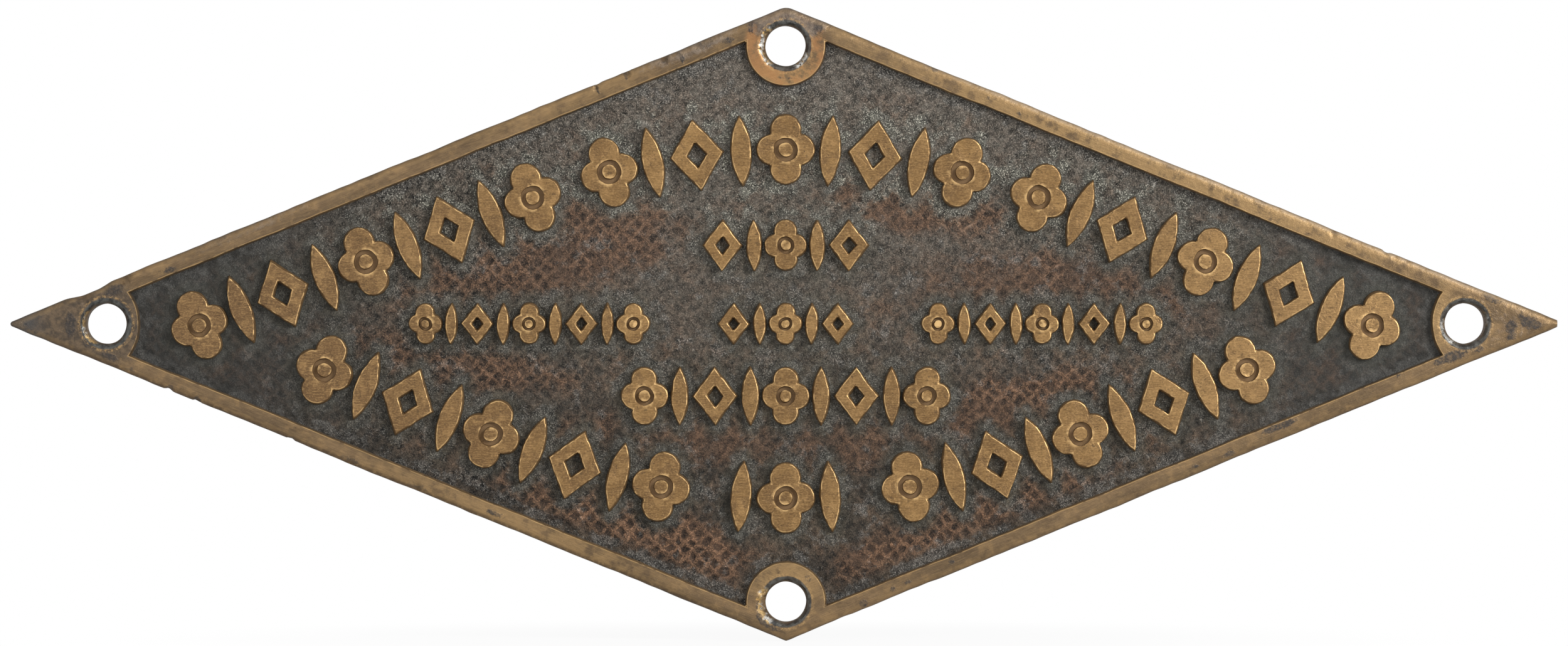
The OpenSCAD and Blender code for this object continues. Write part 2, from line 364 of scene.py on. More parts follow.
def triangles(points, lines, keep):
    """Points, the triangles between them whose middle is kept, and each point's first source."""
    merge = 0.0005
    sliver = 1e-9
    found = delaunay_2d_cdt([Vector(p) for p in points], lines, [], 0, merge)
    plan = np.array([point[:] for point in found[0]])
    faces = np.array(found[2])
    faces = faces[keep(plan[faces].mean(axis=1))]
    first = plan[faces[:, 1]] - plan[faces[:, 0]]
    second = plan[faces[:, 2]] - plan[faces[:, 0]]
    area = first[:, 0] * second[:, 1] - first[:, 1] * second[:, 0]
    faces = np.where(area[:, None] < 0, faces[:, ::-1], faces)
    return plan, faces[np.abs(area) > sliver], [source[0] if source else -1 for source in found[3]]


def stand_up(plan, level):
    """Plan points and their levels as points of the frame."""
    return np.stack([plan[:, 0], -level, plan[:, 1]], axis=1) * MM


def unmoved(points):
    return points


def flat(level):
    """A measure that is the same at all plan points."""
    return lambda points: np.full(len(points), level)


def cast_solid(name, plan, faces, keep, level, base, shape, measures):
    """A closed mesh: triangles at their level, walls at their open edges, and a base.

    Its front faces come first, and the measures are stored on its points by their names."""
    used, faces = np.unique(faces, return_inverse=True)
    faces = faces.reshape(-1, 3)
    plan = plan[used]
    directed = np.concatenate([faces[:, [0, 1]], faces[:, [1, 2]], faces[:, [2, 0]]])
    pairs = set(map(tuple, directed.tolist()))
    open_edges = [pair for pair in directed.tolist() if (pair[1], pair[0]) not in pairs]
    rim = sorted({index for pair in open_edges for index in pair})
    below = {index: order for order, index in enumerate(rim)}
    rim_lines = [(below[a], below[b]) for a, b in open_edges]
    _, base_faces, source = triangles(plan[rim], rim_lines, keep)
    count = len(plan)
    walls = [(a, count + below[a], count + below[b], b) for a, b in open_edges]
    underside = [tuple(count + source[index] for index in face[::-1]) for face in base_faces]
    placed = shape(plan)
    points = np.concatenate([
        stand_up(placed, level(plan)),
        stand_up(placed[rim], base(plan[rim])),
    ])
    mesh = bpy.data.meshes.new(name)
    mesh.from_pydata(points.tolist(), [], faces.tolist() + walls + underside)
    for key, measure in measures.items():
        values = np.concatenate([measure(plan), np.zeros(len(rim))])
        mesh.attributes.new(key, "FLOAT", "POINT").data.foreach_set("value", values)
    front = np.arange(len(mesh.polygons)) < len(faces)
    mesh.attributes.new("front", "BOOLEAN", "FACE").data.foreach_set("value", front)
    return mesh


def finish_mesh(mesh):
    """Smooth shading, with sharp edges where the surface really turns."""
    mesh.polygons.foreach_set("use_smooth", [True] * len(mesh.polygons))
    mesh.set_sharp_from_angle(angle=SMOOTH_BELOW)
    mesh.validate()
    return mesh


def new_object(name, data):
    """An object in the scene, at its origin."""
    made = bpy.data.objects.new(name, data)
    bpy.context.scene.collection.objects.link(made)
    return made


def show(name, mesh, node):
    """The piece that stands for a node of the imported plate."""
    piece = new_object(name, finish_mesh(mesh))
    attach(piece, "root")
    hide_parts(node)
    return piece


class Value:
    """A socket of a node tree. Python's operators on it add Math nodes."""

    def __init__(self, tree, socket=None):
        self.tree = tree
        self.socket = socket

    def add(self, kind, settings=None, sockets=None):
        """A node of a kind: its settings are set first, and then its sockets' values or links."""
        node = self.tree.nodes.new(kind)
        for name, value in (settings or {}).items():
            setattr(node, name, value)
        for name, value in (sockets or {}).items():
            for one in value if isinstance(value, list) else [value]:
                if isinstance(one, Value):
                    self.tree.links.new(one.socket, find(node.inputs, name))
                else:
                    find(node.inputs, name).default_value = one
        shown = [socket for socket in node.outputs if socket.enabled]
        return Value(self.tree, shown[0] if shown else None)

    def out(self, name):
        """Another output of the same node."""
        return Value(self.tree, find(self.socket.node.outputs, name))

    def math(self, operation, *others):
        values = dict(enumerate((self, *others)))
        return self.add("ShaderNodeMath", {"operation": operation}, values)

    def vector(self, operation, other):
        return self.add("ShaderNodeVectorMath", {"operation": operation}, {0: self, 1: other})

    def scaled(self, factor):
        """A vector times a number."""
        return self.add("ShaderNodeVectorMath", {"operation": "SCALE"}, {0: self, "Scale": factor})

    def parts(self):
        """A vector's X, Y and Z."""
        split = self.add("ShaderNodeSeparateXYZ", None, {0: self})
        return [split.out(axis) for axis in "XYZ"]

    def rise(self, low, high):
        """0 below low and 1 above high, with a smooth rise between."""
        limits = {"Value": self, "From Min": low, "From Max": high}
        return self.add("ShaderNodeMapRange", {"interpolation_type": "SMOOTHSTEP"}, limits)

    def mix(self, first, second):
        """A colour between two, with this value as the second one's share."""
        parts = {"Factor_Float": self, "A_Color": first, "B_Color": second}
        return self.add("ShaderNodeMix", {"data_type": "RGBA"}, parts).out("Result_Color")

    def __add__(self, other):
        return self.math("ADD", other)

    def __sub__(self, other):
        return self.math("SUBTRACT", other)

    def __rsub__(self, other):
        return self.math("MULTIPLY_ADD", -1.0, other)

    def __mul__(self, other):
        return self.math("MULTIPLY", other)

    __radd__ = __add__
    __rmul__ = __mul__


def find(sockets, name):
    """A node's socket by its place, its identifier or its name."""
    if isinstance(name, int):
        return sockets[name]
    for socket in sockets:
        if socket.identifier == name:
            return socket
    return next(socket for socket in sockets if socket.enabled and socket.name == name)


def tone(red, green, blue):
    """A colour as it is picked on a screen, from 0 to 255, as the renderer's numbers."""
    shares = [value / 255 for value in (red, green, blue)]
    return (*[s / 12.92 if s <= 0.04045 else ((s + 0.055) / 1.055) ** 2.4 for s in shares], 1)


def noise(place, size, detail=2.0, roughness=0.5, distortion=0.0):
    """Noise whose features are about a size across, in the units of the place."""
    return place.add("ShaderNodeTexNoise", None, {
        "Vector": place,
        "Scale": 1 / size,
        "Detail": detail,
        "Roughness": roughness,
        "Distortion": distortion,
    }).out("Fac")


def geometry_tree(name, kinds):
    """A geometry tree with named inputs: the tree, its inputs' identifiers, and its start."""
    tree = bpy.data.node_groups.new(name, "GeometryNodeTree")
    sockets = tree.interface
    identifiers = {
        key: sockets.new_socket(name=key, in_out="INPUT", socket_type=f"NodeSocket{kind}").identifier
        for key, kind in kinds.items()
    }
    sockets.new_socket(name="Geometry", in_out="OUTPUT", socket_type="NodeSocketGeometry")
    return tree, identifiers, Value(tree)


def grown(name, tree, identifiers, values, mesh):
    """The plain mesh that a geometry tree makes from a mesh and its named inputs' values."""
    host = new_object(name, mesh)
    modifier = host.modifiers.new("grow", "NODES")
    modifier.node_group = tree
    for key, value in values.items():
        modifier[identifiers[key]] = value
    depsgraph = bpy.context.evaluated_depsgraph_get()
    evaluated = host.evaluated_get(depsgraph)
    made = bpy.data.meshes.new_from_object(
        evaluated, preserve_all_data_layers=True, depsgraph=depsgraph
    )
    host.modifiers.remove(modifier)
    bpy.data.objects.remove(host)
    made.name = name
    return made


def marks_tree():
    """Geometry tree that sets marks along a line: rosettes, lozenges and leaves in turn."""
    tree, identifiers, start = geometry_tree("marks_along_line", {
        "Line": "Object",
        "First": "Float",
        "Pitch": "Float",
        "Marks": "Int",
        "Rosette": "Object",
        "Lozenge": "Object",
        "Leaf": "Object",
        "Tilt": "Float",
        "Unevenness": "Float",
        "Seed": "Int",
        "Finish": "Material",
    })
    given = start.add("NodeGroupInput")

    def geometry_of(name):
        return start.add("GeometryNodeObjectInfo", None, {"Object": given.out(name)}).out("Geometry")

    index = start.add("GeometryNodeInputIndex")
    from_middle = (index - (given.out("Marks") - 1) * 0.5).math("ABSOLUTE")
    sample = start.add("GeometryNodeSampleCurve", {"mode": "LENGTH"}, {
        "Curves": geometry_of("Line"),
        "Length": given.out("First") + index * given.out("Pitch"),
    })
    points = start.add("GeometryNodePoints", None, {
        "Count": given.out("Marks"),
        "Position": sample.out("Position"),
    })
    tilt = start.add("FunctionNodeRandomValue", {"data_type": "FLOAT_VECTOR"}, {
        "Min": (0.0, -1.0, 0.0),
        "Max": (0.0, 1.0, 0.0),
        "Seed": given.out("Seed"),
    })
    square = start.add("FunctionNodeAlignRotationToVector", {"axis": "X", "pivot_axis": "Y"}, {
        "Vector": sample.out("Tangent"),
    })
    turn = start.add("FunctionNodeRotateRotation", {"rotation_space": "LOCAL"}, {
        "Rotation": square,
        "Rotate By": tilt.scaled(given.out("Tilt")),
    })
    # Each shape stands at every so many steps from the middle mark, counted from a step
    steps = {"Rosette": (4.0, 0.0), "Lozenge": (4.0, 2.0), "Leaf": (2.0, 1.0)}
    placed = [
        start.add("GeometryNodeInstanceOnPoints", None, {
            "Points": points,
            "Selection": from_middle.math("FLOORED_MODULO", every).math("COMPARE", step, 0.1),
            "Instance": geometry_of(shape),
            "Rotation": turn,
        })
        for shape, (every, step) in steps.items()
    ]
    joined = start.add("GeometryNodeJoinGeometry", None, {"Geometry": placed})
    real = start.add("GeometryNodeRealizeInstances", None, {"Geometry": joined})
    place = start.add("GeometryNodeInputPosition")
    waves = [
        noise(place, size * MM, 1.0).out("Color").vector("SUBTRACT", (0.5, 0.5, 0.5)).vector(
            "MULTIPLY", (reach, 0.0, reach)
        )
        for size, reach in ((5.5, 1.1), (1.7, 0.5), (0.7, 0.3))
    ]
    wander = waves[0].vector("ADD", waves[1]).vector("ADD", waves[2])
    moved = start.add("GeometryNodeSetPosition", None, {
        "Geometry": real,
        "Offset": wander.scaled(given.out("Unevenness")),
    })
    painted = start.add("GeometryNodeSetMaterial", None, {
        "Geometry": moved,
        "Material": given.out("Finish"),
    })
    start.add("NodeGroupOutput", None, {"Geometry": painted})
    return tree, identifiers


def edge_level(inset):
    """Level of a raised shape's face at a distance inside its edge."""
    return np.interp(inset, *zip(*EDGE_PROFILE))


def wear_and_highlight_share(inset):
    """How much of the bright line, partly wear and partly a painted highlight, lies at a distance
    inside an edge.
    """
    return smooth(inset, -0.1, 0.02) * (1 - smooth(inset, 0.12, BRIGHT_LINE))


def contour(measure, value, step):
    """Evenly spaced points where a measure, which falls outwards from the middle, has a value."""
    ray_count = 1441
    halvings = 30
    turn = np.linspace(0, 2 * math.pi, ray_count)
    rays = np.stack([np.cos(turn), np.sin(turn)], axis=1)
    near = np.zeros(len(turn))
    far = np.full(len(turn), BAND_HEIGHT)
    for _ in range(halvings):
        middle = (near + far) / 2
        inside = measure(rays * middle[:, None]) > value
        near = np.where(inside, middle, near)
        far = np.where(inside, far, middle)
    loop = rays * near[:, None]
    run = np.concatenate([[0], np.cumsum(np.hypot(*np.diff(loop, axis=0).T))])
    count = round(run[-1] / step)
    even = np.linspace(0, run[-1], count + 1)[:-1]
    return np.stack([np.interp(even, run, loop[:, 0]), np.interp(even, run, loop[:, 1])], axis=1)


def rosette_inset(points, height):
    """How far plan points lie inside four overlapping petals."""
    petal = PETAL * height
    side = ROSETTE_WIDTH * height / 2 - petal
    tip = height / 2 - petal
    middles = ((side, 0), (-side, 0), (0, tip), (0, -tip))
    return np.max([petal - distance_to(points, middle) for middle in middles], axis=0)


def diamond_inset(points, half_x, half_z):
    slant = math.hypot(half_x, half_z)
    quarter = np.abs(points)
    return (half_x * half_z - quarter[:, 0] * half_z - quarter[:, 1] * half_x) / slant


def leaf_inset(points, height):
    """How far plan points lie inside a slim leaf, between two wide arcs."""
    half_z = height / 2
    half_x = LEAF_WIDTH * half_z
    radius = (half_z * half_z + half_x * half_x) / half_x / 2
    away = radius - half_x
    return radius - np.max([distance_to(points, (side, 0)) for side in (away, -away)], axis=0)


def motif(name, height, outside, opening=None, groove=None):
    """A raised mark that stands on the ground round the origin.

    outside and opening measure how far points lie inside the mark and inside its opening.
    groove gives the four radii of a ring that is cut in its face."""
    plan = Plan()
    spreads = [inset for inset, _ in EDGE_PROFILE] + [BRIGHT_LINE]
    for spread in spreads:
        plan.line(contour(outside, spread, MARK_STEP), closed=True)
        if opening:
            plan.line(contour(opening, -spread, MARK_STEP), closed=True)
    if groove:
        for radius in groove:
            count = round(2 * math.pi * radius / MARK_STEP)
            plan.line(arc((0, 0), radius, 0, 2 * math.pi, count + 1)[:-1], closed=True)

    def inset(points):
        return np.minimum(outside(points), -opening(points)) if opening else outside(points)

    def keep(points):
        return inset(points) > EDGE_PROFILE[0][0]

    def level(points):
        face = edge_level(inset(points))
        if not groove:
            return face
        cut = (0, GROOVE_DEPTH, GROOVE_DEPTH, 0)
        return face - np.interp(distance_to(points, (0, 0)), groove, cut)

    # The bright line along the mark's edges: partly wear, partly a painted highlight
    def worn(points):
        lines = [wear_and_highlight_share(inset(points))]
        if groove:
            away = distance_to(points, (0, 0))
            lines += [wear_and_highlight_share(groove[0] - away), wear_and_highlight_share(away - groove[-1])]
        return np.max(lines, axis=0)

    inner = lattice(height / 2, height / 2, 2 * MARK_STEP)
    inner = inner[inset(inner) > BRIGHT_LINE + MARK_STEP]
    if groove:
        gaps = [np.abs(distance_to(inner, (0, 0)) - radius) for radius in groove]
        inner = inner[np.min(gaps, axis=0) > MARK_STEP]
    plan.scatter(inner)
    points, faces = plan.fill(keep)
    base = flat(GROUND - SINK)
    mesh = cast_solid(name, points, faces, keep, level, base, unmoved, {"worn": worn})
    return new_object(name, mesh)


def rosette(height):
    slope = 0.15
    groove = (BUTTON * height, BUTTON * height + slope, GROOVE * height - slope, GROOVE * height)
    return motif(f"rosette_{height}", height, lambda p: rosette_inset(p, height), groove=groove)


def lozenge(height):
    half_z = height / 2
    half_x = LOZENGE_WIDTH * half_z
    inner_radius = half_x * half_z / math.hypot(half_x, half_z)
    share = 1 - LOZENGE_SIDE * height / inner_radius
    return motif(
        f"lozenge_{height}", height,
        lambda p: diamond_inset(p, half_x, half_z),
        opening=lambda p: diamond_inset(p, share * half_x, share * half_z),
    )


def leaf(height):
    return motif(f"leaf_{height}", height, lambda p: leaf_inset(p, height))


def drawn_line(name, points):
    """A line for marks to follow, in the plane of the plate's back."""
    curve = bpy.data.curves.new(name, "CURVE")
    curve.dimensions = "3D"
    spline = curve.splines.new("POLY")
    spline.points.add(len(points) - 1)
    for point, (x, z) in zip(spline.points, points):
        point.co = (x * MM, 0, z * MM, 1)
    return new_object(name, curve)


def band_points(sign):
    """Middle line of a band and half its length: an arc, then straight flanks.

    The sign is -1 for the lower band."""
    flank = 160
    arc_step = 0.4
    crown = math.degrees(FLANK_ANGLE)
    turns = np.radians(np.arange(-crown, crown + 0.01, arc_step))
    turns[-1] = FLANK_ANGLE
    x = BAND_RADIUS * np.sin(turns)
    z = BAND_CROWN - BAND_RADIUS * (1 - np.cos(turns))
    end = (x[-1] + flank * math.cos(FLANK_ANGLE), z[-1] - flank * math.sin(FLANK_ANGLE))
    points = [(-end[0], end[1]), *zip(x, z), end]
    half_run = BAND_RADIUS * FLANK_ANGLE + flank
    return [(x, sign * z) for x, z in points], half_run


def mark_pitch(height, gap):
    """Distance between the middles of a leaf and the rosette next to it."""
    return height * (ROSETTE_WIDTH + LEAF_WIDTH) / 2 + 2 * FOOT + gap


def band_groups():
    """Each group of marks in the two bands: node, line, first distance, pitch, marks, height."""
    pitch = mark_pitch(BAND_HEIGHT, BAND_GAP)
    outer_marks = 9
    outer_run = (outer_marks - 1) * pitch
    groups = []
    for band, sign, centre_marks in (("upper_band", 1, 9), ("lower_band", -1, 3)):
        points, half_run = band_points(sign)
        line = drawn_line(f"{band}_line", points)
        half_centre = (centre_marks - 1) / 2 * pitch
        start = half_centre + BAND_SPACE
        for side, first, marks in (
            ("left", -start - outer_run, outer_marks),
            ("centre", -half_centre, centre_marks),
            ("right", start, outer_marks),
        ):
            groups.append((f"{band}_{side}", line, half_run + first, pitch, marks, BAND_HEIGHT))
    return groups


def row_groups():
    """Each group of marks in the straight rows, told as band_groups() tells them."""
    half_run = 120
    side_marks = 9
    centre_marks = 5
    groups = []
    for row, height, z in zip(("first_row", "second_row", "third_row"), ROW_HEIGHTS, ROW_LEVELS):
        pitch = mark_pitch(height, ROW_GAP)
        line = drawn_line(f"{row}_line", ((-half_run, z), (half_run, z)))
        if row == "second_row":
            away = (side_marks + centre_marks - 2) / 2 * pitch + ROW_SPACE
            parts = (
                ("_left", -away, side_marks),
                ("_centre", 0, centre_marks),
                ("_right", away, side_marks),
            )
        else:
            parts = (("", 0, centre_marks if row == "first_row" else side_marks),)
        for suffix, middle, marks in parts:
            first = half_run + middle - (marks - 1) / 2 * pitch
            groups.append((row + suffix, line, first, pitch, marks, height))
    return groups


def make_marks(finish):
    """One piece for each group of raised marks."""
    tree, identifiers = marks_tree()
    heights = sorted({BAND_HEIGHT, *ROW_HEIGHTS})
    shapes = {height: (rosette(height), lozenge(height), leaf(height)) for height in heights}
    pieces = []
    for order, (node, line, first, pitch, marks, height) in enumerate(band_groups() + row_groups()):
        shape = shapes[height]
        mesh = grown(f"{node}_marks", tree, identifiers, {
            "Line": line,
            "First": first * MM,
            "Pitch": pitch * MM,
            "Marks": marks,
            "Rosette": shape[0],
            "Lozenge": shape[1],
            "Leaf": shape[2],
            "Tilt": MARK_TILT,
            "Unevenness": MARK_WANDER * MM,
            "Seed": order,
            "Finish": finish,
        }, bpy.data.meshes.new(node))
        pieces.append(show(f"{node}_marks", mesh, node))
    return pieces


def outer_level(inset):
    """Level of the border's worn outer edge at a distance inside the outline."""
    left = 1 - np.clip(inset / WORN_EDGE, 0, 1)
    return TOP - WORN_DROP * (1 - np.sqrt(1 - left * left))


# Dents in the border: (x, z), radius and depth
DENTS = (
    ((-48.2, 59.9), 0.9, 0.7),
    ((-40.3, 63.3), 1.2, 0.8),
    ((-30.7, 67.2), 1.5, 0.9),
    ((-168.0, 11.9), 2.4, 0.9),
    ((-178.5, 7.6), 3.0, 0.8),
    ((-110.5, -35.2), 1.2, 0.9),
    ((-93.8, -42.0), 1.3, 0.9),
    ((-121.0, 30.0), 1.4, 0.35),
    ((150.0, -6.5), 1.0, 0.5),
    ((139.5, 23.3), 1.1, 0.6),
)


def dents(points):
    """How deep the dents are at plan points."""
    depth = np.zeros(len(points))
    ragged = 0.25 * ripple(points, 1.8, seed=11)
    for centre, radius, deep in DENTS:
        share = distance_to(points, centre) / radius + ragged
        depth = np.maximum(depth, deep * (1 - smooth(share, 0.2, 1)))
    return depth


# Patches on the border: middle, half sizes, turn in degrees, strength
STAINED = (
    ((-181.6, -0.3), (1.5, 3.2), 0, 1.0),
    ((-177.0, -5.0), (1.6, 1.2), -30, 0.9),
    ((-171.7, -8.3), (2.6, 0.8), -22, 0.8),
    ((-166.4, -11.6), (1.4, 0.6), -15, 0.9),
    ((-170.6, 8.4), (3.2, 1.6), 20, 0.7),
    ((-156.4, 13.6), (1.8, 0.8), 22, 0.9),
    ((-195.0, 0.0), (3.0, 3.0), 0, 0.5),
    ((-14.6, 71.8), (1.8, 0.8), 20, 0.9),
    ((-20.2, 71.0), (2.4, 1.0), 22, 0.6),
    ((-8.8, 75.2), (0.9, 2.2), 0, 0.8),
    ((8.2, 74.6), (1.4, 2.4), 10, 0.7),
    ((0.2, 62.4), (2.6, 0.4), 0, 0.8),
    ((-4.6, -75.6), (3.6, 1.6), -40, 1.0),
    ((-6.6, -71.4), (1.0, 1.6), 0, 0.9),
    ((19.9, -71.0), (1.4, 1.0), 0, 0.9),
    ((5.6, -64.6), (1.5, 1.0), -40, 0.7),
    ((168.9, -8.5), (4.8, 1.3), 20, 1.2),
    ((172.6, -6.6), (2.6, 1.2), 10, 0.7),
    ((184.1, -1.0), (1.5, 2.0), 0, 1.0),
    ((188.6, 0.3), (2.4, 1.6), -20, 1.1),
    ((184.0, -3.6), (1.6, 0.7), 0, 0.9),
    ((179.3, 6.3), (3.0, 0.9), -24, 0.85),
    ((175.6, -6.3), (2.0, 1.2), 0, 0.6),
    ((150.0, -6.6), (0.7, 0.9), 60, 0.9),
    ((37.8, 64.6), (1.2, 0.6), -22, 1.0),
    ((51.3, 57.2), (0.8, 0.5), 0, 0.9),
    ((59.3, 53.2), (0.9, 0.5), -22, 0.9),
    ((16.5, 74.0), (1.1, 0.6), -22, 0.9),
    ((-47.8, 59.4), (0.4, 1.5), 4, 1.2),
    ((-40.6, 62.9), (0.5, 1.2), 12, 1.2),
    ((-30.7, 67.2), (1.0, 0.6), 22, 1.0),
    ((-26.4, 67.6), (0.5, 1.4), 20, 1.1),
    ((-156.5, -16.3), (1.1, 0.7), -22, 1.2),
    ((-149.4, -19.2), (1.0, 0.7), -22, 1.2),
    ((-74.2, -48.0), (3.6, 0.5), -22, 1.0),
    ((125.2, -26.0), (4.6, 1.0), 22, 1.15),
    ((112.6, -33.2), (1.9, 0.7), 22, 1.1),
    ((104.0, -36.2), (1.0, 0.6), 22, 0.9),
    ((155.6, -12.6), (0.5, 1.0), -20, 1.1),
    ((31.0, -65.6), (1.3, 0.6), 22, 0.9),
    ((27.2, -67.4), (0.8, 0.8), 0, 0.9),
    ((41.9, -60.4), (1.0, 0.6), 22, 0.8),
    ((190.9, -0.6), (1.0, 1.0), 0, 0.9),
    ((186.4, 2.0), (0.9, 0.8), 0, 0.8),
    ((-110.5, -34.4), (3.0, 0.8), -22, 0.8),
    ((-93.8, -41.2), (3.6, 0.8), -22, 0.7),
)
DULLED = (
    ((-180.0, 0.0), (21.0, 13.0), 0, 1.0),
    ((0.7, 77.4), (11.0, 6.0), 0, 1.0),
    ((-24.0, 70.2), (16.0, 2.6), 22, 0.6),
    ((-140.0, 23.0), (26.0, 2.2), 22, 0.45),
    ((181.0, 0.0), (14.0, 8.0), 0, 0.3),
)
GOLDEN = (
    ((92.0, 42.0), (76.0, 7.0), -22, 0.9),
    ((0.0, 62.6), (9.0, 6.0), 0, 0.9),
    ((0.5, -66.0), (9.0, 6.0), 0, 0.8),
    ((-70.0, -50.5), (40.0, 4.0), -22, 0.6),
    ((-56.0, 56.5), (26.0, 3.0), 22, 0.4),
    ((166.0, 2.0), (5.0, 9.0), 0, 0.7),
)

# Torn metal round the holes: hole, direction from its axis in degrees, half angle, reach, depth
TEARS = (
    ((0, CORNER_HOLE_Z), 182, 62, 1.7, 1.0),
    ((0, CORNER_HOLE_Z), -42, 30, 1.7, 0.6),
    ((0, -CORNER_HOLE_Z), 190, 52, 2.6, 1.1),
    ((END_HOLE_X, 0), 205, 44, 1.3, 0.75),
    ((END_HOLE_X, 0), 15, 30, 1.4, 0.16),
    ((-END_HOLE_X, 0), 195, 60, 1.3, 0.7),
)


def patched(points, patches):
    """How strongly soft oval patches cover plan points."""
    share = np.zeros(len(points))
    for middle, reach, turn, strength in patches:
        away = points - middle
        cosine = math.cos(math.radians(turn))
        sine = math.sin(math.radians(turn))
        along = away @ (cosine, sine) / reach[0]
        across = away @ (-sine, cosine) / reach[1]
        share = np.maximum(share, strength * (1 - smooth(np.hypot(along, across), 0.5, 1.4)))
    return share


def tears(points):
    """How deep the metal is torn at plan points."""
    depth = np.zeros(len(points))
    ragged = 0.5 + 0.5 * ripple(points, 1.3, seed=12)
    for hole, direction, half_angle, reach, deep in TEARS:
        away = distance_to(points, hole) - HOLE_RADIUS
        turn = np.arctan2(points[:, 1] - hole[1], points[:, 0] - hole[0]) - math.radians(direction)
        turn = np.abs((turn + math.pi) % (2 * math.pi) - math.pi)
        beside = 1 - smooth(turn, 0.5 * math.radians(half_angle), math.radians(half_angle))
        near = 1 - smooth(away, 0.3 * reach, reach * (0.7 + 0.5 * ragged))
        depth = np.maximum(depth, deep * beside * near * (0.35 + 0.65 * ragged))
    return depth


def border_level(points):
    """Level of the border's face, with its worn edges, hole mouths, dents and tears."""
    mouth = HOLE_CHAMFER * (1 + MOUTH_UNEVENNESS * ripple(points, MOUTH_WAVE, seed=13))
    hole = TOP - mouth + np.clip(hole_inset(points), 0, None)
    face = np.min([outer_level(outline_inset(points)), hole, np.full(len(points), TOP)], axis=0)
    sag = SAG * (1 + ripple(points, SAG_WAVE, seed=14)) + dents(points) + tears(points)
    face = np.maximum(face - sag, GROUND + LEAST_RELIEF)
    return np.minimum(edge_level(border_inset(points)), face)


def border_base(points):
    """Level of the border's underside: set in the ground, except along the plate's own walls."""
    return GROUND - SINK * np.clip(np.minimum(outline_inset(points), hole_inset(points)), 0, 1)


def border_wear_and_highlight(points):
    """How much of the bright lines, partly wear and partly a painted highlight, lies at plan points of
    the border.
    """
    inset = outline_inset(points)
    outer = 0.3 * smooth(inset, 0.3, 0.6) * (1 - smooth(inset, 0.9, 1.4))
    return np.maximum(wear_and_highlight_share(border_inset(points)), outer)


def border_piece(points):
    """The name of the border piece that each plan point belongs to."""
    quarter = np.abs(points)
    at_boss = distance_to(quarter, (0, CORNER_HOLE_Z)) < BOSS_RADIUS
    at_lug = (distance_to(quarter, (LUG_ARC_X, 0)) < LUG_ARC_RADIUS) | (quarter[:, 0] > LUG_ARC_X)
    right = points[:, 0] > 0
    top = points[:, 1] > 0
    side = np.where(right, "right", "left")
    rim = np.char.add(np.char.add(np.where(top, "upper_", "lower_"), side), "_rim")
    boss = np.where(top, "top_boss", "bottom_boss")
    lug = np.char.add(side, "_end_lug")
    return np.where(at_boss, boss, np.where(at_lug, lug, rim))


def add_hole_rings(plan, distances):
    """Rings round each hole, at distances from its edge."""
    for hole in HOLES:
        for away in distances:
            radius = HOLE_RADIUS + away
            count = round(2 * math.pi * radius / RING_STEP)
            plan.line(arc(hole, radius, 0, 2 * math.pi, count + 1)[:-1], closed=True)


def add_seams(plan):
    """Lines across the border where a boss or a lug meets a rim bar."""
    seam_points = 12
    for centre, radius, at_lug in (
        ((0, CORNER_HOLE_Z), BOSS_RADIUS, False),
        ((LUG_ARC_X, 0), LUG_ARC_RADIUS, True),
    ):
        inner = crossing(centre, radius, RIM_WIDTH, at_lug)
        outer = crossing(centre, radius, 0, at_lug)
        seam = arc(centre, radius, turn_of(inner, centre), turn_of(outer, centre), seam_points)
        for mirror in ((1, 1), (-1, 1), (1, -1), (-1, -1)):
            plan.line(seam * mirror)


def make_border(finish):
    """The four rim bars, two bosses and two lugs, as one surface that is parted at the seams."""
    plan = Plan()
    for turn in np.radians((0, 25, 45, 65, 90)):
        plan.line(outline_loop(WORN_EDGE * (1 - math.cos(turn))), closed=True)
    for inset in [inset for inset, _ in EDGE_PROFILE] + [BRIGHT_LINE]:
        plan.line(field_loop(-inset), closed=True)
    mouth_rings = (0, 0.4, 0.8, 1.2)
    add_hole_rings(plan, mouth_rings)
    add_seams(plan)
    inner = lattice(HALF_LENGTH, HALF_HEIGHT, BORDER_STEP)
    room = np.min([
        outline_inset(inner) - WORN_EDGE,
        border_inset(inner) - BRIGHT_LINE,
        hole_inset(inner) - mouth_rings[-1],
    ], axis=0)
    plan.scatter(inner[room > 0.5 * BORDER_STEP])

    def in_metal(points):
        foot = EDGE_PROFILE[0][0]
        return (outline_inset(points) > 0) & (border_inset(points) > foot) & (hole_inset(points) > 0)

    points, faces = plan.fill(in_metal)
    owner = border_piece(points[faces].mean(axis=1))
    pieces = []
    for node in sorted(set(owner.tolist())):
        def keep(middles, node=node):
            return in_metal(middles) & (border_piece(middles) == node)

        mesh = cast_solid(
            f"{node}_casting", points, faces[owner == node], keep, border_level, border_base,
            hand_worked, {
                "worn": border_wear_and_highlight,
                "torn": tears,
                "stained": partial(patched, patches=STAINED),
                "dulled": partial(patched, patches=DULLED),
                "golden": partial(patched, patches=GOLDEN),
            },
        )
        mesh.materials.append(finish)
        pieces.append(show(f"{node}_casting", mesh, node))
    return pieces


